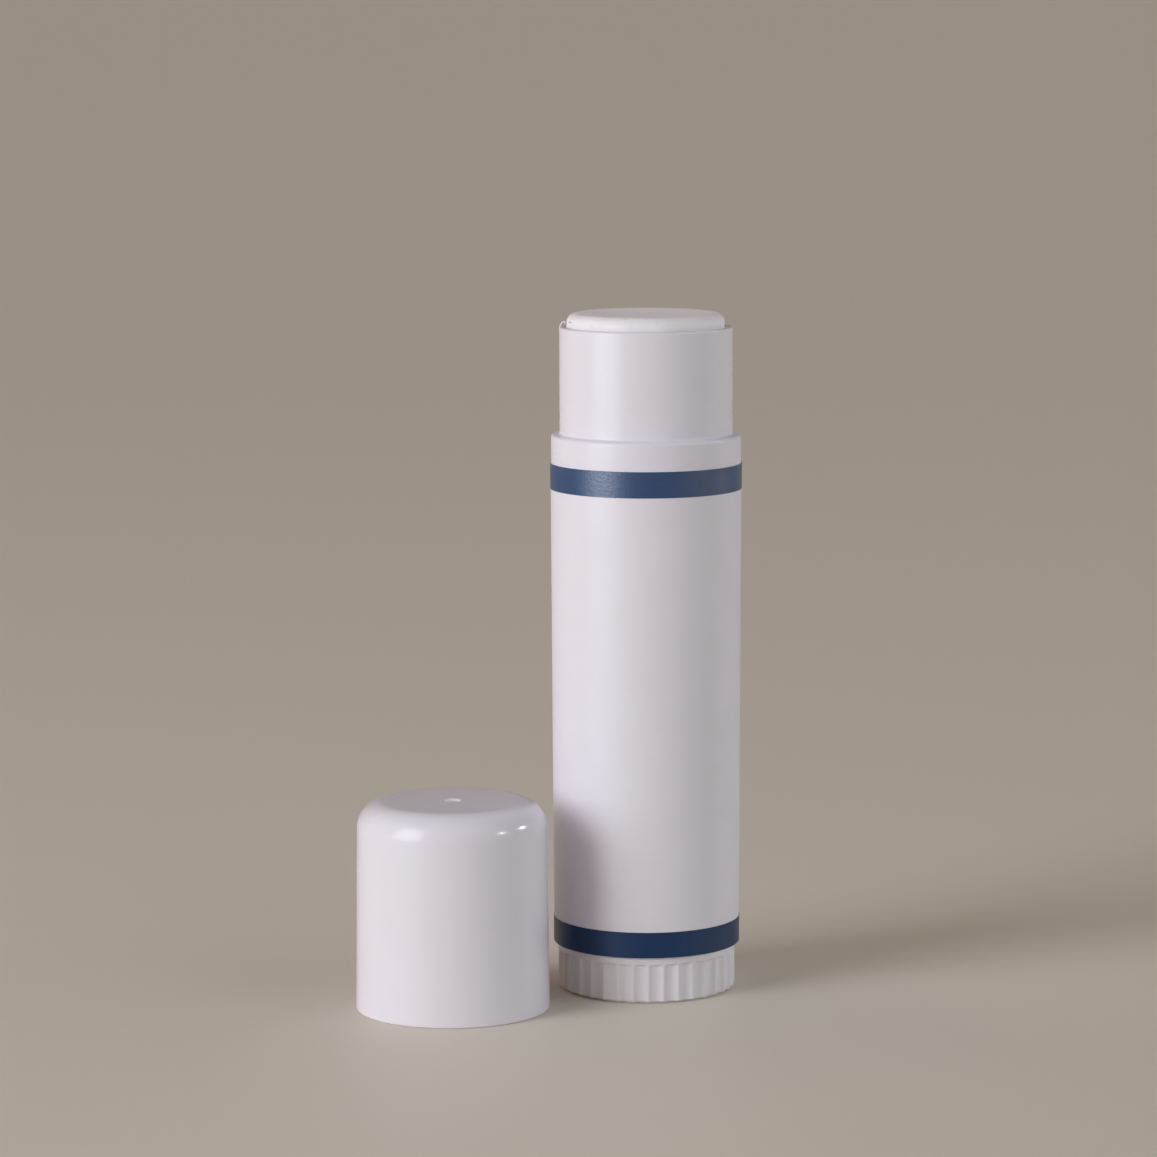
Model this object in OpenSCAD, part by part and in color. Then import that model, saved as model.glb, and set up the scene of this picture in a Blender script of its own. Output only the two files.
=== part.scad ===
// Round twist-up stick with its cap taken off and stood beside it.
// The origin is the middle of the turning base's foot, on the surface that the stick stands on. +Z is up the stick.
// The barrel stands on the turning base. A screw rises from the base through the carrier, which two ribs in
// the bore keep from turning, so a turn of the base lifts or lowers the carrier and the product cast in it.

/* [Barrel] */
// Outer diameter of the barrel at its shoulder
barrel_d = 22; // [20:0.1:24]
// How much smaller the barrel's radius is at its foot than at its shoulder
barrel_draft = 0.25; // [0.1:0.05:0.4]
// Height of the barrel from its foot to its shoulder
barrel_h = 59.7; // [45:0.1:75]
// Outer radius on the shoulder's edge
shoulder_round = 0.4; // [0.2:0.05:0.6]
// Width of the shoulder round the neck that the cap goes over
shoulder_w = 1; // [0.9:0.05:1.3]
// Height of the neck above the shoulder
neck_h = 12.4; // [9:0.1:16]
// Slope where the neck meets the shoulder
neck_root = 0.25; // [0.1:0.05:0.35]
// Chamfer on the outside of the neck's rim
rim_chamfer = 0.2; // [0.1:0.05:0.3]
// Wall of the neck, round the bore that the product slides in
neck_wall = 0.7; // [0.65:0.05:1]
// Width of each guide rib in the bore
rib_w = 1; // [0.8:0.1:1.6]
// Height of each guide rib off the wall of the bore
rib_h = 0.4; // [0.3:0.05:0.5]
// Distance from the top of each guide rib to the neck's rim
rib_drop = 2; // [1.5:0.1:4]
// Angle from the right-hand side to the first guide rib, towards the back
rib_turn = 15; // [0:5:45]

/* [Turning base] */
// How far the base stands back from the barrel's foot
base_step = 0.42; // [0.3:0.02:0.6]
// Height of the part of the base that shows
base_h = 5.3; // [5:0.1:7]
// Height of the plain collar above the flutes
collar_h = 0.85; // [0.5:0.05:1.2]
// Number of flutes round the base
flute_count = 36; // [30:1:42]
// Depth of each flute
flute_depth = 0.3; // [0.15:0.05:0.4]
// Width of the ridge between two flutes
ridge_w = 0.16; // [0.1:0.02:0.4]
// Chamfer round the foot of the base
foot_chamfer = 0.4; // [0.2:0.05:0.6]
// Wall of the base's skirt
skirt_wall = 1.4; // [1.2:0.1:1.8]
// Thickness of the base's floor
floor_t = 1.2; // [1:0.1:1.8]
// Depth of the recess under the floor
foot_recess = 0.5; // [0.3:0.1:0.8]
// Width of the rim that the base stands on, inside its chamfer
foot_rim = 1.3; // [1:0.1:2]
// Height of the snap ring above the collar
ring_h = 4.6; // [4:0.1:6]
// Wall of the snap ring
ring_wall = 0.9; // [0.7:0.05:1.1]
// Height of the bead on the snap ring
bead_h = 0.22; // [0.15:0.01:0.26]
// Height of the bead above the collar
bead_up = 2.6; // [2.2:0.1:3]

/* [Screw] */
// Diameter of the screw at the bottom of its thread
screw_root_d = 4.8; // [4.4:0.1:5.2]
// Diameter of the screw over its thread
screw_d = 6.6; // [6.2:0.1:7]
// Rise of the thread in one turn
lead = 4; // [3.8:0.1:4.4]
// Width of the thread at its crest
crest_w = 1.2; // [1:0.1:1.4]
// Width of each flank of the thread, along the screw
flank_w = 0.5; // [0.3:0.1:0.6]
// Distance from the tip of the screw to the neck's rim
screw_drop = 6; // [5:0.5:8]

/* [Carrier] */
// Height of the carrier's cup
carrier_h = 8; // [7.5:0.5:10]
// Wall of the carrier's cup
carrier_wall = 0.8; // [0.7:0.05:1]
// Thickness of the carrier's floor
carrier_floor = 1.2; // [1:0.1:1.6]
// Wall of the carrier's hub
hub_wall = 1; // [0.8:0.1:1.3]
// Number of fins that grip the product
fin_count = 4; // [3:1:6]
// Thickness of each fin
fin_t = 0.8; // [0.6:0.1:1.2]

/* [Product] */
// How far the product stands out of the neck
product_rise = 1.6; // [0.5:0.1:4]
// How far the product lies below the rim when it is wound right down
product_drop = 1; // [0.5:0.1:1.5]
// Radius on the product's top edge
product_round = 1.2; // [0.6:0.1:2]
// Depth of the hollow in the product's top
dish_depth = 0.25; // [0.1:0.05:0.4]
// Width of the flat land round the hollow
dish_land = 0.5; // [0.3:0.1:1.5]

/* [Label] */
// Thickness of the label's film
film_t = 0.08; // [0.06:0.01:0.12]
// Bare barrel above the label
label_drop = 3.3; // [2:0.1:8]
// Bare barrel below the label
label_foot = 0.1; // [0.1:0.1:2]
// Height of each printed band
band_h = 3; // [2:0.1:6]
// Thickness of the printed ink
ink_t = 0.05; // [0.03:0.01:0.06]
// Width of the label's overlap at the back
lap_w = 4; // [3:0.5:6]

/* [Cap] */
// Wall of the cap at its rim
cap_wall = 1.07; // [0.9:0.01:1.6]
// Height of the cap
cap_h = 24.1; // [21.6:0.1:28]
// Draft of the cap's side, in degrees
cap_draft = 0.75; // [0.3:0.05:1]
// Radius between the cap's side and its top
crown_round = 3; // [2:0.1:4]
// Thickness of the cap's top
cap_top = 1.2; // [1:0.1:1.6]
// Height of the bead inside the cap's rim
cap_bead = 0.05; // [0.03:0.01:0.07]
// Diameter of the dimple round the moulding mark on the cap's top
gate_d = 2.2; // [1.6:0.1:3]
// Depth of that dimple
gate_depth = 0.25; // [0.15:0.05:0.4]
// Place of the cap beside the stick, to the right
cap_x = -22.5; // [-30:0.1:-22]
// Place of the cap beside the stick, away from the front
cap_y = -10.9; // [-14:0.1:-8]

/* [Clearances] */
// Gap between the barrel's foot and the base's collar
seat_gap = 0.1; // [0.05:0.01:0.15]
// Gap round the snap ring in the bore
ring_gap = 0.08; // [0.05:0.01:0.1]
// Gap round the bead in its groove
bead_gap = 0.1; // [0.06:0.01:0.15]
// Gap round the carrier and the product in the bore
slide_gap = 0.1; // [0.06:0.01:0.12]
// Gap on each side of a guide rib
rib_gap = 0.2; // [0.1:0.05:0.3]
// Gap between the thread and what runs on it
thread_gap = 0.25; // [0.2:0.05:0.35]
// Gap between the carrier and the snap ring when it is wound right down
stop_gap = 0.4; // [0.2:0.1:0.8]
// Gap between the cap's bore and the neck
cap_gap = 0.08; // [0.08:0.01:0.12]

/* [Hidden] */

// Facets of round shapes
round_fn = 96;
// Facets of the thread in one turn
thread_fn = 16;
// A cut runs this far past the face that it opens
past = 1;
// A rib or boss runs this far into the wall that carries it
root_in = 0.3;

foot_z = base_h + seat_gap;
shoulder_z = foot_z + barrel_h;
rim_z = shoulder_z + neck_h;
barrel_r = barrel_d / 2;
barrel_foot_r = barrel_r - barrel_draft;
neck_r = barrel_r - shoulder_w;
bore_r = neck_r - neck_wall;
rib_top_z = rim_z - rib_drop;

base_r = barrel_foot_r - base_step;
ring_r = bore_r - ring_gap;
ring_top_z = base_h + ring_h;
skirt_in_r = base_r - skirt_wall;
ring_in_r = ring_r - ring_wall;
floor_z = foot_recess + floor_t;
flute_top_z = base_h - collar_h;
// The bead's slopes are as long as the bead is high, on each side of a flat
bead_flat = 0.3;
bead_z = base_h + bead_up;
// Lead-in slope at the mouth of a bore and the top of a ring
lead_in = 0.4;
step_t = 1.2;
gate_nub_r = 0.8;
gusset_h = 1.6;
gusset_t = 0.8;
boss_h = 2.5;
boss_wall = 0.5;

screw_r = screw_d / 2;
screw_root_r = screw_root_d / 2;
screw_tip_z = rim_z - screw_drop;
// The plain rods below and above the thread stand this far off its root
shank_step = 0.1;
root_w = lead - crest_w - 2 * flank_w;

rest_lift = product_rise + product_drop;
carrier_r = bore_r - slide_gap;
carrier_z = ring_top_z + stop_gap + rest_lift;
hub_bore_r = screw_r + thread_gap;
hub_r = hub_bore_r + hub_wall;
cup_r = carrier_r - carrier_wall;
fin_h = 4;
// Each run of the nut's thread follows the groove for this many of the thread's facets
nut_steps = 4;
nut_start = 0.3;
nut_tip_r = screw_root_r + thread_gap;
nut_base_r = hub_bore_r + root_in;
// Half the width of the nut's thread where it meets the groove's floor and where it leaves the hub
nut_tip_half = root_w / 2 - thread_gap;
nut_base_half = nut_tip_half + (nut_base_r - nut_tip_r) * flank_w / (screw_r - screw_root_r);
nut_z = carrier_z + nut_start + nut_base_half;
hub_h = 2 * (nut_start + nut_base_half) + lead * (nut_steps / thread_fn + 0.5);

product_z = rim_z + product_rise;
product_r = carrier_r;
dish_r = product_r - product_round - dish_land;
dish_ball_r = (dish_r * dish_r + dish_depth * dish_depth) / (2 * dish_depth);

label_low_z = foot_z + label_foot;
label_high_z = shoulder_z - label_drop;
lap_deg = lap_w / barrel_r * 180 / PI;
ink_deg = ink_t / barrel_r * 180 / PI;

cap_bore_r = neck_r + cap_gap;
cap_r = cap_bore_r + cap_wall;
cap_in_z = cap_h - cap_top;
cap_in_round = 2.2;
cap_bead_z = 3;

// Radius of the barrel's drafted side at a height
function barrel_side(z) = barrel_foot_r + (barrel_r - barrel_foot_r) * (z - foot_z) / barrel_h;

// Point on a left-hand helix: it turns clockwise, seen from above, as it rises
function helix_point(radius, turns, z) = [radius * cos(-360 * turns), radius * sin(-360 * turns), z];

// Half section of a round post about the Z axis, with its top corner rounded
module post_section(r_low, z_low, r_high, z_high, corner) {
    lean = atan2(r_low - r_high, z_high - z_low);
    middle_z = z_high - corner;
    middle_r = r_low - (middle_z - z_low) * tan(lean) - corner / cos(lean);
    polygon([[0, z_low], [r_low, z_low],
             [middle_r + corner * cos(lean), middle_z + corner * sin(lean)],
             [middle_r, z_high], [0, z_high]]);
    translate([middle_r, middle_z]) circle(corner, $fn = round_fn);
}

module post(r_low, z_low, r_high, z_high, corner)
    rotate_extrude($fn = round_fn) post_section(r_low, z_low, r_high, z_high, corner);

// Ring with a flat crest and two slopes, standing out from radius r by h, or sunk into it if h is more than the wall
module bead_ring(r, h, z, flat, root)
    rotate_extrude($fn = round_fn)
        polygon([[r - root, z - flat / 2 - h], [r, z - flat / 2 - h], [r + h, z - flat / 2],
                 [r + h, z + flat / 2], [r, z + flat / 2 + h], [r - root, z + flat / 2 + h]]);

module drill(r, z_low, z_high)
    translate([0, 0, z_low]) cylinder(r = r, h = z_high - z_low, $fn = round_fn);

// Slots at both sides of a round piece, where the guide ribs pass
module rib_slots(z_low, z_high)
    for (side = [rib_turn, rib_turn + 180])
        rotate(side)
            translate([bore_r - rib_h - slide_gap, -rib_w / 2 - rib_gap, z_low])
                cube([rib_h + slide_gap + past, rib_w + 2 * rib_gap, z_high - z_low]);

// Threaded rod with one left-hand thread, whose two ends are meant to lie inside plain rods
module screw(z_low, steps) {
    threaded = steps - thread_fn;
    crest_first = 2 * (steps + 1);
    points = concat(
        [for (s = [0:steps], rise = [0, root_w])
            helix_point(screw_root_r, s / thread_fn, z_low + lead * s / thread_fn + rise)],
        [for (s = [0:threaded], rise = [root_w + flank_w, root_w + flank_w + crest_w])
            helix_point(screw_r, s / thread_fn, z_low + lead * s / thread_fn + rise)],
        [[0, 0, z_low + root_w], [0, 0, z_low + lead * steps / thread_fn]]);
    low_tip = crest_first + 2 * (threaded + 1);
    high_tip = low_tip + 1;
    // Each strip runs from one helix to the next above it: the groove's floor, a flank, the crest, a flank
    strips = concat(
        [for (s = [0:steps - 1]) [2 * s, 2 * s + 1]],
        [for (s = [0:threaded - 1]) [2 * s + 1, crest_first + 2 * s]],
        [for (s = [0:threaded - 1]) [crest_first + 2 * s, crest_first + 2 * s + 1]],
        [for (s = [0:threaded - 1]) [crest_first + 2 * s + 1, 2 * (s + thread_fn)]]);
    sides = [for (strip = strips, half = [0, 1])
        half == 0 ? [strip[0], strip[1] + 2, strip[1]] : [strip[0], strip[0] + 2, strip[1] + 2]];
    low_loop = concat([crest_first + 1, crest_first, 1], [for (s = [0:thread_fn]) 2 * s]);
    high_loop = concat([for (s = [threaded:steps]) 2 * s + 1],
        [2 * steps, low_tip - 1, low_tip - 2]);
    low_fan = [for (k = [0:len(low_loop) - 1])
        [low_tip, low_loop[(k + 1) % len(low_loop)], low_loop[k]]];
    high_fan = [for (k = [0:len(high_loop) - 1])
        [high_tip, high_loop[k], high_loop[(k + 1) % len(high_loop)]]];
    polyhedron(points, concat(sides, low_fan, high_fan));
}

// One run of the nut's thread, which stands in the screw's groove
module nut_thread(first) {
    radii = [nut_base_r, nut_tip_r, nut_tip_r, nut_base_r];
    rises = [-nut_base_half, -nut_tip_half, nut_tip_half, nut_base_half];
    points = [for (s = [first:first + nut_steps], k = [0:3])
        helix_point(radii[k], s / thread_fn, nut_z + lead * s / thread_fn + rises[k])];
    sides = [for (s = [0:nut_steps - 1], k = [0:3], half = [0, 1])
        let (a = 4 * s + k, b = 4 * s + (k + 1) % 4)
        half == 0 ? [a, b, b + 4] : [a, b + 4, a + 4]];
    last = 4 * nut_steps;
    ends = [[0, 2, 1], [0, 3, 2], [last, last + 1, last + 2], [last, last + 2, last + 3]];
    polyhedron(points, concat(sides, ends));
}

// Sleeve round the drafted barrel between two distances off its side
module wrap(z_low, z_high, t_in, t_out)
    rotate_extrude($fn = round_fn)
        polygon([[barrel_side(z_low) + t_in, z_low], [barrel_side(z_low) + t_out, z_low],
                 [barrel_side(z_high) + t_out, z_high], [barrel_side(z_high) + t_in, z_high]]);

// The part of such a sleeve within an angle at the back
module back_wrap(z_low, z_high, t_in, t_out, deg)
    intersection() {
        wrap(z_low, z_high, t_in, t_out);
        far = barrel_r + past;
        translate([0, 0, z_low - past])
            linear_extrude(z_high - z_low + 2 * past)
                polygon([[0, 0], [far * tan(deg / 2), far], [-far * tan(deg / 2), far]]);
    }

// Ink on the film, carried over the film's overlap
module band(z_low, z_high)
    difference() {
        union() {
            wrap(z_low, z_high, film_t, film_t + ink_t);
            back_wrap(z_low, z_high, film_t, 2 * film_t + ink_t, lap_deg + 2 * ink_deg);
        }
        back_wrap(z_low - past, z_high + past, 0, 2 * film_t, lap_deg);
    }

module barrel() color("#f3eff4") {
    difference() {
        union() {
            post(barrel_foot_r, foot_z, barrel_r, shoulder_z, shoulder_round);
            drill(neck_r, shoulder_z - past, rim_z - rim_chamfer);
            translate([0, 0, shoulder_z])
                cylinder(r1 = neck_r + neck_root, r2 = neck_r, h = neck_root, $fn = round_fn);
            translate([0, 0, rim_z - rim_chamfer])
                cylinder(r1 = neck_r, r2 = neck_r - rim_chamfer, h = rim_chamfer, $fn = round_fn);
        }
        drill(bore_r, foot_z - past, rim_z + past);
        bead_ring(bore_r, bead_h + bead_gap - ring_gap, bead_z, bead_flat + 2 * bead_gap, past);
        translate([0, 0, foot_z])
            cylinder(r1 = bore_r + lead_in, r2 = bore_r, h = lead_in, $fn = round_fn);
    }
    for (side = [rib_turn, rib_turn + 180])
        rotate(side)
            translate([bore_r - rib_h, -rib_w / 2, ring_top_z + stop_gap])
                cube([rib_h + root_in, rib_w, rib_top_z - ring_top_z - stop_gap]);
}

module label() color("#f6f4f8") {
    wrap(label_low_z, label_high_z, 0, film_t);
    back_wrap(label_low_z, label_high_z, film_t / 2, 2 * film_t, lap_deg);
}

module label_band_upper() color("#3d5f87") band(label_high_z - band_h, label_high_z);

module label_band_lower() color("#33507a") band(label_low_z, label_low_z + band_h);

// Cutters for the flutes, with a narrow ridge between each two
module flutes() {
    half_deg = 180 / flute_count - ridge_w / 2 / base_r * 180 / PI;
    half_w = base_r * sin(half_deg);
    flute_r = (half_w * half_w + flute_depth * flute_depth) / (2 * flute_depth);
    for (k = [0:flute_count - 1])
        rotate(360 / flute_count * (k + 0.5))
            translate([base_r * cos(half_deg) + flute_r - flute_depth, 0, -past])
                cylinder(r = flute_r, h = flute_top_z + past, $fn = 32);
}

module twist_base() color("#eae6ee") {
    difference() {
        rotate_extrude($fn = round_fn)
            polygon([[0, foot_recess], [base_r - foot_chamfer - foot_rim, foot_recess],
                     [base_r - foot_chamfer - foot_rim, 0], [base_r - foot_chamfer, 0], [base_r, foot_chamfer],
                     [base_r, base_h], [ring_r, base_h], [ring_r, ring_top_z - lead_in],
                     [ring_r - lead_in, ring_top_z], [ring_in_r, ring_top_z], [ring_in_r, base_h - step_t],
                     [skirt_in_r, base_h - step_t], [skirt_in_r, floor_z], [0, floor_z]]);
        flutes();
    }
    bead_ring(ring_r, bead_h, bead_z, bead_flat, root_in);
    translate([0, 0, foot_recess / 2]) cylinder(r = gate_nub_r, h = floor_t, $fn = round_fn);
    for (k = [0:3])
        rotate(45 + 90 * k)
            translate([0, -gusset_t / 2, floor_z - root_in])
                cube([skirt_in_r + root_in, gusset_t, root_in + gusset_h]);
    drill(screw_r + boss_wall, floor_z - root_in, floor_z + boss_h);
    // The groove of the screw meets the nut's thread where the carrier rests
    first_z = nut_z - root_w / 2 - lead * floor((nut_z - root_w / 2 - floor_z) / lead);
    thread_steps = floor((screw_tip_z - lead_in - root_w - first_z) / lead * thread_fn);
    screw(first_z, thread_steps);
    shank_r = screw_root_r + shank_step;
    drill(shank_r, floor_z - root_in, first_z + lead + shank_step);
    drill(shank_r, first_z + lead * (thread_steps / thread_fn - 1) + root_w - shank_step, screw_tip_z - lead_in);
    translate([0, 0, screw_tip_z - lead_in])
        cylinder(r1 = shank_r, r2 = shank_r - lead_in, h = lead_in, $fn = round_fn);
}

module carrier_cup()
    translate([0, 0, carrier_z])
        rotate_extrude($fn = round_fn)
            polygon([[hub_bore_r, 0], [carrier_r, 0], [carrier_r, carrier_h], [cup_r, carrier_h],
                     [cup_r, carrier_floor], [hub_r, carrier_floor], [hub_r, hub_h], [hub_bore_r, hub_h]]);

module fins()
    for (k = [0:fin_count - 1])
        rotate(360 / fin_count * (k + 0.5))
            translate([hub_r - root_in, -fin_t / 2, carrier_z + carrier_floor - root_in])
                cube([cup_r - hub_r + 2 * root_in, fin_t, root_in + fin_h]);

module carrier() color("#dfdbe4") {
    difference() {
        carrier_cup();
        rib_slots(carrier_z - past, carrier_z + carrier_h + past);
    }
    fins();
    // Two runs of thread, half a turn apart
    for (first = [0, thread_fn / 2]) nut_thread(first);
}

module product() color("#ece8e6")
    difference() {
        union() {
            drill(cup_r, carrier_z + carrier_floor, carrier_z + carrier_h + past);
            post(product_r, carrier_z + carrier_h, product_r, product_z, product_round);
        }
        drill(hub_r, carrier_z, carrier_z + hub_h);
        drill(hub_bore_r, carrier_z, screw_tip_z + rest_lift + stop_gap);
        fins();
        rib_slots(carrier_z + carrier_h - past, rib_top_z + rest_lift + slide_gap);
        translate([0, 0, product_z - dish_depth + dish_ball_r])
            rotate([90, 0, 0]) sphere(dish_ball_r, $fn = round_fn);
    }

module cap() color("#f2eef4")
    translate([cap_x, cap_y, 0]) {
        difference() {
            post(cap_r, 0, cap_r - cap_h * tan(cap_draft), cap_h, crown_round);
            post(cap_bore_r, -past, cap_bore_r, cap_in_z, cap_in_round);
            cylinder(r1 = cap_bore_r + lead_in, r2 = cap_bore_r, h = lead_in, $fn = round_fn);
            translate([0, 0, cap_h - gate_depth])
                cylinder(r1 = gate_d / 2 - gate_depth, r2 = gate_d / 2, h = gate_depth, $fn = round_fn);
        }
        // The bead inside the mouth, which grips the neck
        rotate_extrude($fn = round_fn)
            polygon([[cap_bore_r + root_in, cap_bead_z], [cap_bore_r, cap_bead_z],
                     [cap_bore_r - cap_bead, cap_bead_z + cap_bead],
                     [cap_bore_r - cap_bead, cap_bead_z + cap_bead + bead_flat],
                     [cap_bore_r, cap_bead_z + 2 * cap_bead + bead_flat],
                     [cap_bore_r + root_in, cap_bead_z + 2 * cap_bead + bead_flat]]);
    }

barrel();
label();
label_band_upper();
label_band_lower();
twist_base();
carrier();
product();
cap();
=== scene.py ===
import bmesh
import bpy
import numpy as np
from mathutils import Matrix, Vector


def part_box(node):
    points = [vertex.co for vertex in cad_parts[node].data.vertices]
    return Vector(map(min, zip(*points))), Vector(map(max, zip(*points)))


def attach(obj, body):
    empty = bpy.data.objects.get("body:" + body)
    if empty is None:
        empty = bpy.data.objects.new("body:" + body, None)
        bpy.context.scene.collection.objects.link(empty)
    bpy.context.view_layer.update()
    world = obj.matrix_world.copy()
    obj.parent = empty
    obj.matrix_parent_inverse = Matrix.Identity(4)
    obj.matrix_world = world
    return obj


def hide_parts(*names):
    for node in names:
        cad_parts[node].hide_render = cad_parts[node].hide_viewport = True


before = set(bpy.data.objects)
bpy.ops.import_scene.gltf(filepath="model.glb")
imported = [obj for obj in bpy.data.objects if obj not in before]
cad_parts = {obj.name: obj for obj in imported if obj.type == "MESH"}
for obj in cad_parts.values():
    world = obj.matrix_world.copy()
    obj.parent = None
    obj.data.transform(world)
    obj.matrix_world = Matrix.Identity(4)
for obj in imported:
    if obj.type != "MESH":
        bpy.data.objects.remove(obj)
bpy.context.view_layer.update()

MM = 0.001
TURN = 2 * np.pi

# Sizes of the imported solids, in millimetres
BARREL_LOW, BARREL_HIGH = (np.array(corner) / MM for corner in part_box("barrel"))
LABEL_LOW, LABEL_HIGH = (np.array(corner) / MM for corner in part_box("label"))
UPPER_LOW, UPPER_HIGH = (np.array(corner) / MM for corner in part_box("label_band_upper"))
LOWER_LOW, LOWER_HIGH = (np.array(corner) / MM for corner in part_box("label_band_lower"))
PRODUCT_HIGH = np.array(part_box("product")[1]) / MM
CAP_LOW, CAP_HIGH = (np.array(corner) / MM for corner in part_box("cap"))

# The barrel, from its foot to the rim of its neck
FOOT_Z, RIM_Z = BARREL_LOW[2], BARREL_HIGH[2]
NECK_H = 12.4
SHOULDER_Z = RIM_Z - NECK_H
BARREL_R = BARREL_HIGH[0]
BARREL_DRAFT = 0.25
NECK_R = BARREL_R - 1
BORE_R = NECK_R - 0.7
RIB_H, RIB_W, RIB_DROP, RIB_TURN = 0.4, 1.0, 2.0, 15.0
RIB_FOOT_Z = 10.3
GROOVE_Z, GROOVE_DEPTH, GROOVE_HALF = 7.9, 0.24, 0.25

# The turning base, which stands on a ring a little inside its fluted side, and its screw
BASE_TOP_Z = FOOT_Z - 0.1
BASE_R = BARREL_R - BARREL_DRAFT - 0.42
STANDS_R, RECESS_R, RECESS_H = BASE_R - 0.62, 8.63, 0.5
GATE_R, GATE_Z = 0.8, 0.25
SNAP_R, SNAP_T = BORE_R - 0.08, 0.9
SNAP_TOP_Z = BASE_TOP_Z + 4.6
BEAD_Z, BEAD_H, BEAD_HALF, BEAD_RAMP = 7.9, 0.22, 0.15, 0.37
SKIRT_IN_R, SHELF_T = BASE_R - 1.4, 1.2
FLUTES, FLUTE_DEPTH, RIDGE_W, FLUTE_TOP_Z = 36, 0.3, 0.16, BASE_TOP_Z - 0.85
FLUTE_FADE_LOW, FLUTE_FADE_HIGH = FLUTE_TOP_Z - 0.1, FLUTE_TOP_Z + 0.22
FLOOR_TOP_Z, GUSSET_W, GUSSET_H = 1.7, 0.8, 1.6
SCREW_TOP_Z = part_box("twist_base")[1][2] / MM
SCREW_R, SCREW_ROOT_R, LEAD, CREST_W, FLANK_W = 3.3, 2.4, 4.0, 1.2, 0.5
SCREW_TIP, SCREW_ROW_H = 0.4, 0.2
BOSS_R, BOSS_TOP_Z = SCREW_R + 0.5, FLOOR_TOP_Z + 2.5
THREAD_Z = FLOOR_TOP_Z + 2.6

# The label and what is printed on it
FILM_T, INK_T, LAP_W = 0.08, 0.05, 4.0

# The product and its slots for the guide ribs
PRODUCT_R = PRODUCT_HIGH[0]
SEAT_R, SEAT_TOP_Z = 8.4, 20.9
HUB_R, HUB_TOP_Z = 4.55, 19.1
HOLE_R, HOLE_TOP_Z = 3.55, 74.5
TOP_ROUND = 1.2
SLOT_TOP_Z, SLOT_DEPTH, SLOT_W = 78.2, 0.4, 1.4

# The cap
CAP_X, CAP_Y = (CAP_LOW[:2] + CAP_HIGH[:2]) / 2
CAP_R, CAP_H = (CAP_HIGH[0] - CAP_LOW[0]) / 2, CAP_HIGH[2]
CAP_DRAFT = np.radians(0.75)
CAP_BORE_R, CAP_TOP_T = 10.08, 1.2
CROWN_ROUND = 3.0


def smooth(edge0, edge1, x):
    """Eased step: 0 before edge0, 1 after edge1, and 3t^2 - 2t^3 between."""
    t = np.clip((x - edge0) / (edge1 - edge0), 0, 1)
    return t * t * (3 - 2 * t)


def lumps(x, y, z, size, seed):
    """Smooth uneven field of about unit strength: a sum of 28 cosine waves of about that wavelength, in
    directions and phases drawn once from the seed."""
    rng = np.random.default_rng(seed)
    waves = rng.normal(size=(28, 3))
    waves *= (TURN / size * rng.uniform(0.6, 1.5, 28) / np.linalg.norm(waves, axis=1))[:, None]
    phases = rng.uniform(0, TURN, 28)
    points = np.stack([x, y, z], axis=-1)
    return np.cos(points @ waves.T + phases).sum(axis=-1) / np.sqrt(14)


def rounded(corners, steps=6, guard=0.12):
    """Profile through corners (r, z, radius): each corner gives way to an arc that is tangent to both of its
    sides, so the arc starts radius / tan(half the corner's angle) away from it. A guard point on each side
    of an arc keeps the shading of the straight runs flat."""
    corners = np.array(corners, float)
    profile = [corners[0, :2]]
    for before, corner, after in zip(corners[:-2], corners[1:-1], corners[2:]):
        here, radius = corner[:2], corner[2]
        back = (before[:2] - here) / np.linalg.norm(before[:2] - here)
        ahead = (after[:2] - here) / np.linalg.norm(after[:2] - here)
        half = np.arccos(np.clip(back @ ahead, -1, 1)) / 2
        if radius == 0 or half > 1.565:
            profile.append(here)
            continue
        reach = radius / np.tan(half)
        bisector = (back + ahead) / np.linalg.norm(back + ahead)
        centre = here + bisector * radius / np.sin(half)
        start, end = here + back * reach, here + ahead * reach
        a0 = np.arctan2(*(start - centre)[::-1])
        sweep = (np.arctan2(*(end - centre)[::-1]) - a0 + np.pi) % TURN - np.pi
        a = a0 + sweep * np.linspace(0, 1, steps + 1)
        arc = centre + radius * np.stack([np.cos(a), np.sin(a)], axis=1)
        profile += [start + back * guard, *arc, end + ahead * guard]
    return np.array(profile + [corners[-1, :2]])


def divided(profile, longest):
    """The profile with each run longer than longest cut into equal parts."""
    out = [profile[:1]]
    for a, b in zip(profile[:-1], profile[1:]):
        parts = max(1, int(np.ceil(np.linalg.norm(b - a) / longest)))
        t = np.linspace(0, 1, parts + 1)[1:, None]
        out.append(a + (b - a) * t)
    return np.concatenate(out)


def new_mesh(name, points, faces, sharp_deg=35):
    """Object from an array of points in millimetres and an array of faces, with its doubles merged and its
    normals turned outwards."""
    mesh = bpy.data.meshes.new(name)
    mesh.from_pydata((points * MM).tolist(), [], faces.tolist())
    piece = bpy.data.objects.new(name, mesh)
    bpy.context.scene.collection.objects.link(piece)
    bm = bmesh.new()
    bm.from_mesh(mesh)
    bmesh.ops.remove_doubles(bm, verts=bm.verts, dist=1e-7)
    bmesh.ops.recalc_face_normals(bm, faces=bm.faces)
    bm.to_mesh(mesh)
    bm.free()
    mesh.shade_smooth()
    mesh.set_sharp_from_angle(angle=np.radians(sharp_deg))
    return piece


def grid_faces(rows, columns, wrap_rows, wrap_columns):
    """Quads between neighbours on a grid of rows by columns, which closes on itself where asked."""
    i = np.arange(rows if wrap_rows else rows - 1)
    j = np.arange(columns if wrap_columns else columns - 1)
    i, j = np.meshgrid(i, j, indexing="ij")
    i1, j1 = (i + 1) % rows, (j + 1) % columns
    quad = [i * columns + j, i1 * columns + j, i1 * columns + j1, i * columns + j1]
    return np.stack(quad, axis=-1).reshape(-1, 4)


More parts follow.
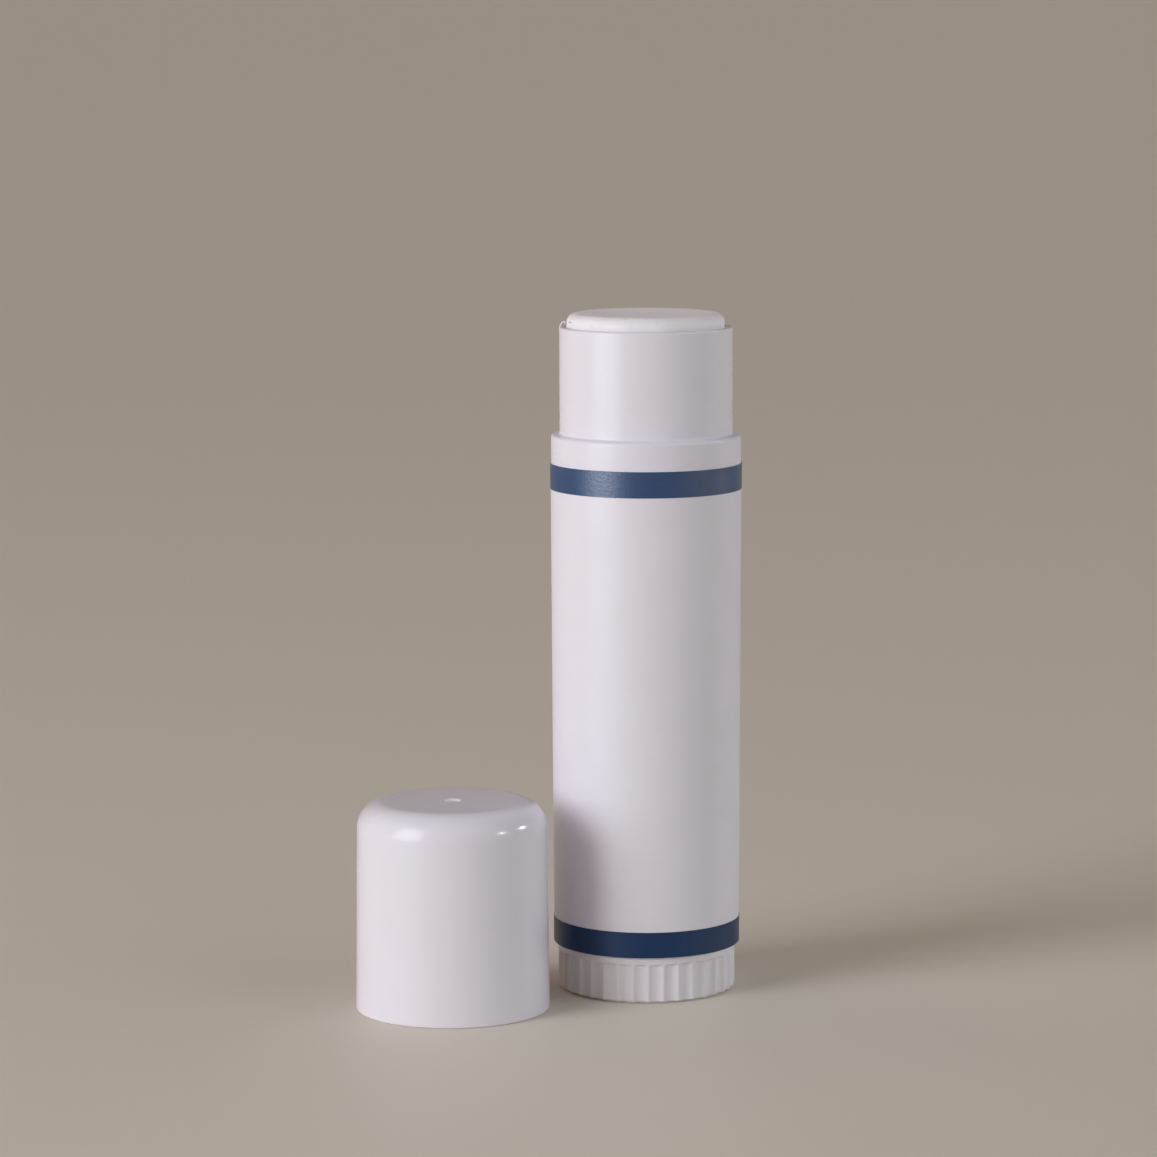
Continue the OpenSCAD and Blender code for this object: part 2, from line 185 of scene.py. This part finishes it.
def turned(name, profile, steps=256, closed=False, shape=None, centre=(0, 0)):
    """Surface of revolution: point (r, z) of the profile, at angle a, stands at (r cos a, r sin a, z) from
    the centre. shape takes the grids r, z and a, and gives back r and z with its relief."""
    a = np.arange(steps) * TURN / steps
    r, a = np.meshgrid(profile[:, 0], a, indexing="ij")
    z = np.repeat(profile[:, 1:], steps, axis=1)
    if shape:
        r, z = shape(r, z, a)
    points = np.stack([centre[0] + r * np.cos(a), centre[1] + r * np.sin(a), z], axis=-1).reshape(-1, 3)
    return new_mesh(name, points, grid_faces(len(profile), steps, closed, True))


def off_angle(a, degrees):
    """Angle from a direction, in radians, between -pi and pi."""
    return (a - np.radians(degrees) + np.pi) % TURN - np.pi


def barrel_side(z):
    """Radius of the barrel's drafted side, which grows evenly from the foot to the shoulder."""
    return BARREL_R - BARREL_DRAFT * (SHOULDER_Z - z) / (SHOULDER_Z - FOOT_Z)


def barrel_relief(r, z, a):
    """Two guide ribs: where the angle is within half a rib of its direction, the bore stands inwards."""
    on_bore = (np.abs(r - BORE_R) < 0.02) & (z > RIB_FOOT_Z) & (z < RIM_Z - RIB_DROP)
    half = RIB_W / 2 / BORE_R
    for side in (RIB_TURN, RIB_TURN + 180):
        near = smooth(half + 0.02, half, np.abs(off_angle(a, side)))
        r = np.where(on_bore, r - RIB_H * near, r)
    return r, z


def make_barrel():
    corners = [
        (BORE_R + 0.2, FOOT_Z, 0), (barrel_side(FOOT_Z), FOOT_Z, 0.12), (BARREL_R, SHOULDER_Z, 0.4),
        (NECK_R, SHOULDER_Z, 0.25), (NECK_R, RIM_Z, 0.22), (BORE_R, RIM_Z, 0.1),
        (BORE_R, RIM_Z - RIB_DROP + 0.02, 0), (BORE_R, RIM_Z - RIB_DROP - 0.02, 0),
        (BORE_R, RIB_FOOT_Z + 0.02, 0), (BORE_R, RIB_FOOT_Z - 0.02, 0),
        (BORE_R, GROOVE_Z + GROOVE_HALF + GROOVE_DEPTH, 0), (BORE_R + GROOVE_DEPTH, GROOVE_Z + GROOVE_HALF, 0),
        (BORE_R + GROOVE_DEPTH, GROOVE_Z - GROOVE_HALF, 0),
        (BORE_R, GROOVE_Z - GROOVE_HALF - GROOVE_DEPTH, 0), (BORE_R, FOOT_Z + 0.4, 0),
        (BORE_R + 0.4, FOOT_Z, 0),
    ]
    profile = divided(rounded(corners), 4)
    piece = turned("tube_moulding", profile[1:], closed=True, shape=barrel_relief)
    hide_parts("barrel")
    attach(piece, "barrel")
    return piece


def base_relief(r, z, a):
    """Outside, hollow flutes with a narrow ridge between each two: across a flute the depth is that of an
    arc, and it runs out softly below the collar. Inside, four gussets that stand on the floor between the
    screw's boss and the skirt."""
    turn_off = (a - TURN / 8) % (TURN / 4)
    turn_off = np.minimum(turn_off, TURN / 4 - turn_off)
    web = smooth(GUSSET_W / 2 + 0.04, GUSSET_W / 2 - 0.04, r * np.sin(turn_off))
    inside = (r > BOSS_R - 0.1) & (r < SKIRT_IN_R + 0.1) & (z > FLOOR_TOP_Z - 0.1)
    z = np.where(inside, np.maximum(z, FLOOR_TOP_Z + GUSSET_H * web), z)
    half = BASE_R * np.sin(np.pi / FLUTES - RIDGE_W / 2 / BASE_R)
    arc_r = (half ** 2 + FLUTE_DEPTH ** 2) / 2 / FLUTE_DEPTH
    across = BASE_R * np.sin((a * FLUTES / TURN) % 1 * TURN / FLUTES - np.pi / FLUTES)
    depth = np.sqrt(np.maximum(arc_r ** 2 - across ** 2, 0)) - (arc_r - FLUTE_DEPTH)
    depth = np.maximum(depth, 0) * smooth(FLUTE_FADE_HIGH, FLUTE_FADE_LOW, z)
    return np.where(r > BASE_R - 0.4, r - depth, r), z


def make_base():
    side = [0.42, 1.5, 3, *np.linspace(FLUTE_FADE_LOW, FLUTE_FADE_HIGH, 8), BASE_TOP_Z - 0.4]
    corners = [
        (0, GATE_Z, 0), (GATE_R, GATE_Z, 0.05), (GATE_R, RECESS_H, 0), (RECESS_R, RECESS_H, 0),
        (RECESS_R, 0, 0), (STANDS_R, 0, 0), (STANDS_R + 0.1, 0.2, 0), (BASE_R - 0.05, 0.22, 0),
        (BASE_R, 0.27, 0), *((BASE_R, z, 0) for z in side), (BASE_R, BASE_TOP_Z, 0.1), (SNAP_R, BASE_TOP_Z, 0),
        (SNAP_R, BEAD_Z - BEAD_HALF - BEAD_RAMP, 0), (SNAP_R + BEAD_H, BEAD_Z - BEAD_HALF, 0),
        (SNAP_R + BEAD_H, BEAD_Z + BEAD_HALF, 0), (SNAP_R, BEAD_Z + BEAD_HALF + BEAD_RAMP, 0),
        (SNAP_R, SNAP_TOP_Z, 0.4), (SNAP_R - SNAP_T, SNAP_TOP_Z, 0), (SNAP_R - SNAP_T, BASE_TOP_Z - SHELF_T, 0),
        (SKIRT_IN_R, BASE_TOP_Z - SHELF_T, 0), (SKIRT_IN_R, FLOOR_TOP_Z, 0.3), (BOSS_R, FLOOR_TOP_Z, 0.2),
        (BOSS_R, BOSS_TOP_Z, 0.1), (0, BOSS_TOP_Z, 0),
    ]
    profile = divided(rounded(corners, steps=4, guard=0.05), 1)
    piece = turned("base_moulding", profile, steps=FLUTES * 16, shape=base_relief)
    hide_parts("twist_base")
    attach(piece, "twist_base")
    return piece


def thread(r, z, a):
    """Left-hand thread: the share of a turn that z has climbed, less the angle, says where a point lies
    between the groove's floor, a flank, the crest and the other flank."""
    phase = ((z - THREAD_Z) / LEAD + a / TURN) % 1 * LEAD
    floor_w = LEAD - CREST_W - 2 * FLANK_W
    rise = smooth(floor_w, floor_w + FLANK_W, phase) * smooth(LEAD, LEAD - FLANK_W, phase)
    run_out = smooth(THREAD_Z, THREAD_Z + LEAD, z) * smooth(SCREW_TOP_Z - 0.6, SCREW_TOP_Z - 3, z)
    on_rod = np.abs(r - SCREW_ROOT_R) < 0.02
    return np.where(on_rod, r + (SCREW_R - SCREW_ROOT_R) * rise * run_out, r), z


def make_screw():
    """Rod with its thread, on a grid of heights by angles, from inside the boss to a blunt tip."""
    z = np.arange(THREAD_Z, SCREW_TOP_Z - SCREW_TIP - 0.2, SCREW_ROW_H)
    foot = [[0, FLOOR_TOP_Z + 0.5], [SCREW_ROOT_R, FLOOR_TOP_Z + 0.5]]
    rod = np.stack([np.full_like(z, SCREW_ROOT_R), z], axis=1)
    tip = [[SCREW_ROOT_R, SCREW_TOP_Z - SCREW_TIP], [SCREW_ROOT_R - SCREW_TIP, SCREW_TOP_Z], [0, SCREW_TOP_Z]]
    profile = np.concatenate([foot, rod, tip])
    piece = turned("screw_rod", profile, steps=72, shape=thread)
    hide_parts("twist_base")
    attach(piece, "twist_base")
    return piece


def wound(name, z_low, z_high, t_in, t_out, start_deg, corner=0.015, steps=360):
    """Strip wound once round the barrel and on over its own start: at distance s round the turn, its section
    stands at barrel_side(z) + t, and t grows by one film over the last degrees before the overlap."""
    lap = np.degrees(LAP_W / BARREL_R)
    s = np.linspace(start_deg, 360 + lap, steps + 1)
    zs = np.linspace(z_low + corner, z_high - corner, 24)
    ends = np.array([[t_out - corner, z_high], [t_in + corner, z_high]])
    section = np.concatenate([
        np.stack([np.full_like(zs, t_out), zs], axis=1), ends,
        np.stack([np.full_like(zs, t_in), zs[::-1]], axis=1), ends[::-1] * [1, 0] + [0, z_low]])
    t, s = np.meshgrid(section[:, 0], s, indexing="ij")
    z = np.repeat(section[:, 1:], steps + 1, axis=1)
    rise = FILM_T * smooth(360 - 3, 360, s)
    r = barrel_side(z) + t + rise
    a = np.radians(90 - lap / 2 + s)
    points = np.stack([r * np.cos(a), r * np.sin(a), z], axis=-1).reshape(-1, 3)
    rows, columns = r.shape
    sides = grid_faces(rows, columns, True, False).tolist()
    first = (np.arange(rows) * columns)[::-1].tolist()
    last = (np.arange(rows) * columns + columns - 1).tolist()
    mesh = bpy.data.meshes.new(name)
    mesh.from_pydata((points * MM).tolist(), [], sides + [first, last])
    piece = bpy.data.objects.new(name, mesh)
    bpy.context.scene.collection.objects.link(piece)
    mesh.shade_smooth()
    mesh.set_sharp_from_angle(angle=np.radians(35))
    return piece


def make_label():
    film = wound("label_film", LABEL_LOW[2], LABEL_HIGH[2], 0, FILM_T, 0)
    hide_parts("label")
    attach(film, "barrel")
    bands = []
    past_lap = np.degrees(LAP_W / BARREL_R) + 0.5
    for name, node, low, high in (("band_upper_ink", "label_band_upper", UPPER_LOW[2], UPPER_HIGH[2]),
                                  ("band_lower_ink", "label_band_lower", LOWER_LOW[2], LOWER_HIGH[2])):
        band = wound(name, low, high, FILM_T, FILM_T + INK_T, past_lap)
        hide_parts(node)
        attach(band, "barrel")
        bands.append(band)
    return film, bands


def product_relief(r, z, a):
    """Wax that was cast and a little used: slots for the ribs, an edge that wanders, and a top that is
    slightly uneven."""
    x, y = r * np.cos(a), r * np.sin(a)
    side = np.abs(r - PRODUCT_R) < 0.02
    half = SLOT_W / 2 / PRODUCT_R
    for turn in (RIB_TURN, RIB_TURN + 180):
        near = smooth(half + 0.02, half - 0.01, np.abs(off_angle(a, turn)))
        depth = SLOT_DEPTH * smooth(SLOT_TOP_Z, SLOT_TOP_Z - 0.1, z)
        shown = (z > SEAT_TOP_Z) & (r > PRODUCT_R - 0.35)
        r = np.where(shown, r - depth * near, r)
    open_part = smooth(RIM_Z - 0.3, RIM_Z + 0.3, z) * (r > HUB_R)
    r = r + open_part * (0.03 * lumps(x, y, z, 5, 3) - 0.05) * smooth(2, 6, r)
    top = smooth(RIM_Z + 0.9, RIM_Z + 1.5, z)
    z = z - top * (0.035 + 0.03 * np.tanh(lumps(x, y, 0 * z, 6, 5)))
    return r, z


def make_product():
    top = PRODUCT_HIGH[2]
    dish_r = PRODUCT_R - TOP_ROUND - 0.5
    dish = [(radius, top - 0.25 * (1 - (radius / dish_r) ** 2), 0) for radius in np.linspace(0, dish_r, 14)]
    corners = dish + [
        (PRODUCT_R, top, TOP_ROUND), (PRODUCT_R, SEAT_TOP_Z, 0.05), (SEAT_R, SEAT_TOP_Z, 0),
        (SEAT_R, 14.1, 0), (HUB_R, 14.1, 0), (HUB_R, HUB_TOP_Z, 0), (HOLE_R, HUB_TOP_Z, 0),
        (HOLE_R, HOLE_TOP_Z, 0), (0, HOLE_TOP_Z, 0),
    ]
    profile = rounded(corners, steps=14)
    near_top = profile[:, 1] > RIM_Z - 1
    profile = np.concatenate([divided(profile[near_top], 0.15), divided(profile[~near_top], 3)])
    piece = turned("product_stick", profile, steps=384, shape=product_relief)
    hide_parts("product")
    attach(piece, "carrier")
    return piece


def wax_thread(name, angle, r, z, thick, columns=24):
    """Thread of wax along a path round the axis: the path's angles in degrees, radii and heights are arrays.
    Each section is an ellipse with uneven lumps that shrinks to a point at both ends. Where the path lies
    along the turn, thick is (outwards, upwards). Elsewhere it is (across the path in the upright plane
    through the axis, along the turn)."""
    a = np.radians(angle)[:, None]
    turn = (np.arange(columns) * TURN / columns)[None, :]
    along = np.stack([np.gradient(r), np.gradient(z), np.radians(np.gradient(angle)) * r])
    along /= np.linalg.norm(along, axis=0)
    out, up, side = along[:, :, None]
    flat = np.sqrt(out ** 2 + up ** 2) + 1e-9
    step = np.arange(len(r))[:, None]
    uneven = lumps(0.12 * step + 0 * turn, np.cos(turn) + 0 * step, np.sin(turn) + 0 * step, 3, 8)
    size = np.sin(step / step[-1] * np.pi) ** 0.5 * (1 + 0.2 * np.tanh(uneven))
    first, second = thick[0] * size * np.cos(turn), thick[1] * size * np.sin(turn)
    lying = np.abs(side) > 0.9
    radii = r[:, None] + np.where(lying, first, -first * up / flat)
    heights = z[:, None] + np.where(lying, second, first * out / flat)
    shift = np.where(lying, 0, second)
    x = radii * np.cos(a) - shift * np.sin(a)
    y = radii * np.sin(a) + shift * np.cos(a)
    points = np.stack([x, y, heights], axis=-1).reshape(-1, 3)
    piece = new_mesh(name, points, grid_faces(len(r), columns, False, True), sharp_deg=80)
    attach(piece, "barrel")
    return piece


def make_smears():
    """What the product leaves on the rim as it slides: a fine smear along the edge of the bore, from the
    middle of the front round to the right, whose radius wanders as a sine, and a curl shaved off at the left
    that rises over the rim and comes down inside it."""
    angle = np.linspace(-100, 60, 320)
    r = 9.29 + 0.012 * np.sin(np.radians(7 * angle))
    smear = wax_thread("wax_smear", angle, r, RIM_Z - 0.06 + 0 * angle, (0.055, 0.07))
    t = np.linspace(0, 1, 80)
    r = 9.72 + 0.36 * np.cos(0.35 + 3.0 * t) + 0.05 * t
    z = RIM_Z - 0.25 + 0.62 * np.sin(2.9 * t ** 1.1) + 0.45 * t
    curl = wax_thread("wax_curl", 184 + 4 * t, r, z, (0.075, 0.17))
    return smear, curl


def make_cap():
    top_r = CAP_R - CAP_H * np.tan(CAP_DRAFT)
    inner = CAP_H - CAP_TOP_T
    corners = [
        (0, CAP_H - 0.14, 0), (0.32, CAP_H - 0.14, 0.08), (0.5, CAP_H - 0.25, 0.1), (0.85, CAP_H - 0.25, 0.15),
        (1.1, CAP_H, 0.1), (top_r, CAP_H, CROWN_ROUND), (CAP_R, 0, 0.22), (CAP_BORE_R + 0.4, 0, 0.1),
        (CAP_BORE_R, 0.4, 0.1), (CAP_BORE_R, 3, 0), (CAP_BORE_R - 0.05, 3.05, 0), (CAP_BORE_R - 0.05, 3.35, 0),
        (CAP_BORE_R, 3.4, 0), (CAP_BORE_R, inner, 2.2), (0, inner, 0),
    ]
    profile = divided(rounded(corners, steps=20), 3)
    piece = turned("cap_moulding", profile, steps=320, centre=(CAP_X, CAP_Y))
    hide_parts("cap")
    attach(piece, "cap")
    return piece


class Finish:
    """A material under construction: each method adds one node and gives back its output."""

    def __init__(self, name, **shader):
        self.material = bpy.data.materials.new(name)
        self.material.use_nodes = True
        self.tree = self.material.node_tree
        self.shader = self.tree.nodes["Principled BSDF"]
        for socket, value in shader.items():
            self.shader.inputs[socket.replace("_", " ")].default_value = value
        self.place = self.node("ShaderNodeTexCoord").outputs["Object"]

    def node(self, kind, **settings):
        made = self.tree.nodes.new(kind)
        for key, value in settings.items():
            setattr(made, key, value)
        return made

    def join(self, source, target):
        self.tree.links.new(source, target)

    def noise(self, size, detail=2.0, roughness=0.5, stretch=(1, 1, 1)):
        """Noise whose features are about size millimetres wide, stretched along the axes."""
        mapping = self.node("ShaderNodeMapping")
        mapping.inputs["Scale"].default_value = stretch
        self.join(self.place, mapping.inputs["Vector"])
        made = self.node("ShaderNodeTexNoise")
        made.inputs["Scale"].default_value = 1 / (size * MM)
        made.inputs["Detail"].default_value = detail
        made.inputs["Roughness"].default_value = roughness
        self.join(mapping.outputs["Vector"], made.inputs["Vector"])
        return made.outputs["Fac"]

    def ranged(self, source, low, high, to_low, to_high):
        made = self.node("ShaderNodeMapRange")
        for socket, value in zip(("From Min", "From Max", "To Min", "To Max"), (low, high, to_low, to_high)):
            made.inputs[socket].default_value = value
        self.join(source, made.inputs["Value"])
        return made.outputs["Result"]

    def mixed(self, amount, first, second):
        """Colour between first and second, each a colour or another node's output."""
        made = self.node("ShaderNodeMix", data_type="RGBA")
        self.join(amount, made.inputs["Factor"])
        for index, value in ((6, first), (7, second)):
            if isinstance(value, tuple):
                made.inputs[index].default_value = (*value, 1)
            else:
                self.join(value, made.inputs[index])
        return made.outputs[2]

    def bump(self, source, height, below=None):
        """Relief of about height millimetres."""
        made = self.node("ShaderNodeBump")
        made.inputs["Distance"].default_value = height * MM
        made.inputs["Strength"].default_value = 1
        self.join(source, made.inputs["Height"])
        if below is not None:
            self.join(below, made.inputs["Normal"])
        return made.outputs["Normal"]

    def finish(self, colour, rough, normal):
        self.join(colour, self.shader.inputs["Base Color"])
        self.join(rough, self.shader.inputs["Roughness"])
        self.join(normal, self.shader.inputs["Normal"])
        return self.material


def moulding(name, colour, shade, rough, grain=0.35, grain_h=0.0006, wave_h=0.004, **shader):
    """Injection-moulded polypropylene: cloudy mottling, faint flow marks along the draw, a fine skin and
    slow waves in the gloss."""
    f = Finish(name, **shader)
    clouds = f.ranged(f.noise(9, 3), 0.35, 0.65, 0, 1)
    flow = f.ranged(f.noise(1.6, 2, stretch=(1, 1, 0.08)), 0.4, 0.62, 0, 0.5)
    base = f.mixed(clouds, colour, shade)
    base = f.mixed(flow, base, tuple(0.985 * c for c in colour))
    skin = f.ranged(f.noise(grain, 3), 0.3, 0.7, rough - 0.03, rough + 0.04)
    waves = f.bump(f.noise(7, 1), wave_h)
    return f.finish(base, skin, f.bump(f.noise(grain, 2), grain_h, waves))


def film(name, colour, shade, rough, grain_h, **shader):
    """Printed film: even colour, satin varnish with a fine orange peel."""
    f = Finish(name, **shader)
    clouds = f.ranged(f.noise(5, 3), 0.35, 0.65, 0, 1)
    skin = f.ranged(f.noise(0.5, 2), 0.3, 0.7, rough - 0.03, rough + 0.05)
    waves = f.bump(f.noise(6, 1, stretch=(1, 1, 0.4)), 0.003)
    return f.finish(f.mixed(clouds, colour, shade), skin, f.bump(f.noise(0.26, 1), grain_h, waves))


def wax(name):
    """Opaque white wax: soft cloudy body, a fine dry bloom, a few tiny dark specks."""
    f = Finish(name, Subsurface_Weight=0.25, Subsurface_Radius=(1, 0.9, 0.8), Subsurface_Scale=0.0015,
               Specular_IOR_Level=0.35)
    clouds = f.ranged(f.noise(3, 4), 0.3, 0.7, 0, 1)
    # Small dark specks in the colour, with no relief of their own.
    dark_specks = f.ranged(f.noise(0.7, 1), 0.72, 0.78, 0, 0.3)
    base = f.mixed(clouds, (0.88, 0.865, 0.905), (0.855, 0.84, 0.875))
    base = f.mixed(dark_specks, base, (0.55, 0.52, 0.50))
    rough = f.ranged(f.noise(0.8, 3), 0.3, 0.7, 0.5, 0.62)
    smear = f.bump(f.noise(1.6, 3, stretch=(0.5, 1, 1)), 0.02)
    return f.finish(base, rough, f.bump(f.noise(0.3, 3), 0.006, smear))


WHITE = (0.80, 0.785, 0.862)
WHITE_SHADE = (0.785, 0.77, 0.842)
BASE_WHITE = (0.765, 0.755, 0.79)
UPPER_BLUE = (0.016, 0.062, 0.172)
UPPER_BLUE_SHADE = (0.011, 0.052, 0.154)
# The lower band is printed in the same ink as the upper band; these darker colours paint in the shade that the
# floor and the cap throw on it.
LOWER_BLUE = (0.013, 0.044, 0.122)
LOWER_BLUE_SHADE = (0.009, 0.036, 0.106)


def paint(piece, material):
    piece.data.materials.clear()
    piece.data.materials.append(material)


def dress():
    paint(make_barrel(), moulding("tube_plastic", WHITE, WHITE_SHADE, 0.30, Specular_IOR_Level=0.35))
    label, bands = make_label()
    paint(label, film("label_varnish", WHITE, WHITE_SHADE, 0.34, 0.006, Specular_IOR_Level=0.4))
    paint(bands[0], film("upper_ink", UPPER_BLUE, UPPER_BLUE_SHADE, 0.34, 0.026, Specular_IOR_Level=0.98))
    # lower_ink is a darker copy of the upper ink: its colours carry painted shade, and its gloss is kept low.
    paint(bands[1], film("lower_ink", LOWER_BLUE, LOWER_BLUE_SHADE, 0.34, 0.014, Specular_IOR_Level=0.3))
    white_wax = wax("white_wax")
    for piece in (make_product(), *make_smears()):
        paint(piece, white_wax)
    paint(make_cap(), moulding("cap_plastic", WHITE, WHITE_SHADE, 0.19, grain_h=0.0003, Specular_IOR_Level=0.3))
    inner = moulding("inner_plastic", (0.78, 0.76, 0.80), (0.76, 0.74, 0.78), 0.4)
    base = moulding("base_plastic", BASE_WHITE, WHITE_SHADE, 0.36, grain_h=0.001)
    paint(make_base(), base)
    paint(make_screw(), base)
    for polygon_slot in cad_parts["carrier"].material_slots:
        polygon_slot.material = inner


# The photograph's camera, fitted to the rings of the barrel: it stands at CAMERA_AT and looks along yaw and pitch
IMAGE_PX = 1157
FOCAL_PX = 4291
SENSOR_MM = 36
CAMERA_AT = Vector((-9.95, -494.22, 115.27)) * MM
YAW, PITCH, ROLL = np.radians([0.242, 7.73, -0.185])


def make_camera():
    forward = Vector((np.sin(YAW) * np.cos(PITCH), np.cos(YAW) * np.cos(PITCH), -np.sin(PITCH)))
    right = Vector((np.cos(YAW), -np.sin(YAW), 0))
    up = right.cross(forward)
    right, up = np.cos(ROLL) * right + np.sin(ROLL) * up, -np.sin(ROLL) * right + np.cos(ROLL) * up
    data = bpy.data.cameras.new("camera")
    data.sensor_width = SENSOR_MM
    data.lens = SENSOR_MM * FOCAL_PX / IMAGE_PX
    data.clip_start, data.clip_end = 0.01, 1000
    camera = bpy.data.objects.new("camera", data)
    bpy.context.scene.collection.objects.link(camera)
    turn = Matrix((right, up, -forward)).transposed().to_4x4()
    camera.matrix_world = Matrix.Translation(CAMERA_AT) @ turn
    bpy.context.scene.camera = camera


def round_lamp(name, azimuth_deg, height_deg, across_deg, level, colour=(1, 1, 1), in_gloss=True,
               in_diffuse=True):
    """Round soft light from far off, at an angle left (-) or right (+) of the camera's side and above the
    floor. level is the brightness that it alone gives to a white surface that faces it. A key or fill light
    is kept out of the gloss, and a window out of the rest."""
    azimuth, height = np.radians([azimuth_deg, height_deg])
    data = bpy.data.lights.new(name, "SUN")
    data.angle = np.radians(across_deg)
    data.energy = level * np.pi
    data.color = colour
    lamp = bpy.data.objects.new(name, data)
    bpy.context.scene.collection.objects.link(lamp)
    lamp.visible_glossy, lamp.visible_diffuse = in_gloss, in_diffuse
    towards = Vector((np.sin(azimuth) * np.cos(height), -np.cos(azimuth) * np.cos(height), np.sin(height)))
    lamp.rotation_euler = towards.to_track_quat("Z", "Y").to_euler()


def softbox(name, azimuth_deg, away, width, height, level, in_diffuse=True):
    """Soft rectangle that stands on the floor, sizes in millimetres, square on to the object. level is as for
    round_lamp: power = level pi^2 distance^2. A sheen panel lights the gloss alone."""
    azimuth = np.radians(azimuth_deg)
    data = bpy.data.lights.new(name, "AREA")
    data.shape = "RECTANGLE"
    data.size, data.size_y = width * MM, height * MM
    data.color = (0.90, 0.94, 1)
    data.energy = level * np.pi ** 2 * (away * MM) ** 2
    lamp = bpy.data.objects.new(name, data)
    bpy.context.scene.collection.objects.link(lamp)
    lamp.visible_diffuse = in_diffuse
    towards = Vector((np.sin(azimuth), -np.cos(azimuth), 0))
    lamp.location = (towards * away + Vector((0, 0, height / 2))) * MM
    lamp.rotation_euler = towards.to_track_quat("Z", "Y").to_euler()


BACKDROP = (0.15, 0.14, 0.125)
ROOM_AT_EYE_LEVEL = (0.26, 0.17, 0.12)
ROOM_OVERHEAD = (0.17, 0.13, 0.10)
FLOOR_SEEN = (0.76, 0.715, 0.63)
FLOOR_BOUNCE = (0.74, 0.68, 0.58)


def make_light():
    softbox("softbox", -54.5, 500, 310, 460, 0.37)
    softbox("sheen_panel", -54.5, 505, 310, 460, 0.60, False)
    round_lamp("key_left", -55, 15, 30, 0.39, (0.94, 0.945, 1), False)
    round_lamp("lamp_high_left", -61, 41, 10, 0.03)
    round_lamp("window_right", 67, 19, 5, 0.16, in_diffuse=False)
    round_lamp("window_far_right", 101, 18, 5, 0.24, in_diffuse=False)
    round_lamp("fill_right", 112, 12, 70, 0.25, (0.87, 0.94, 1), False)
    round_lamp("fill_front_right", 60, 20, 60, 0.235, (0.72, 0.90, 1), False)
    round_lamp("fill_behind_left", -128, 12, 50, 0.13, (1, 0.92, 0.80), False)
    world = bpy.data.worlds.new("room")
    bpy.context.scene.world = world
    world.use_nodes = True
    tree = world.node_tree
    tree.nodes.clear()
    out = tree.nodes.new("ShaderNodeOutputWorld")
    room = tree.nodes.new("ShaderNodeBackground")
    direction = tree.nodes.new("ShaderNodeTexCoord")
    parts = tree.nodes.new("ShaderNodeSeparateXYZ")
    blend = tree.nodes.new("ShaderNodeMix")
    blend.data_type = "RGBA"
    blend.inputs[6].default_value = (*ROOM_AT_EYE_LEVEL, 1)
    blend.inputs[7].default_value = (*ROOM_OVERHEAD, 1)
    tree.links.new(direction.outputs["Generated"], parts.inputs["Vector"])
    tree.links.new(parts.outputs["Z"], blend.inputs["Factor"])
    tree.links.new(blend.outputs[2], room.inputs["Color"])
    seen = tree.nodes.new("ShaderNodeBackground")
    seen.inputs["Color"].default_value = (*BACKDROP, 1)
    mix = tree.nodes.new("ShaderNodeMixShader")
    tree.links.new(seen_directly(tree), mix.inputs["Fac"])
    tree.links.new(room.outputs["Background"], mix.inputs[1])
    tree.links.new(seen.outputs["Background"], mix.inputs[2])
    tree.links.new(mix.outputs["Shader"], out.inputs["Surface"])


def seen_directly(tree):
    """1 for a camera, glossy or transmission ray, 0 for the rays that light the object."""
    path = tree.nodes.new("ShaderNodeLightPath")
    total = path.outputs["Is Camera Ray"]
    for name in ("Is Glossy Ray", "Is Transmission Ray"):
        larger = tree.nodes.new("ShaderNodeMath")
        larger.operation = "MAXIMUM"
        tree.links.new(total, larger.inputs[0])
        tree.links.new(path.outputs[name], larger.inputs[1])
        total = larger.outputs[0]
    return total


def make_floor():
    """Flat floor: rings of growing radius round the object, all at height 0."""
    radii = np.concatenate([[0], np.geomspace(0.05, 800, 36)])
    a = np.arange(64) * TURN / 64
    r, a = np.meshgrid(radii, a, indexing="ij")
    points = np.stack([r * np.cos(a), r * np.sin(a), 0 * r], axis=-1).reshape(-1, 3) / MM
    floor = new_mesh("floor", points, grid_faces(len(radii), 64, False, True))
    f = Finish("floor_paint", Roughness=0.55, Specular_IOR_Level=0.3)
    colour = f.mixed(seen_directly(f.tree), FLOOR_BOUNCE, FLOOR_SEEN)
    f.join(colour, f.shader.inputs["Base Color"])
    paint(floor, f.material)


make_camera()
make_light()
make_floor()
dress()

scene = bpy.context.scene
scene.view_settings.view_transform = "Standard"
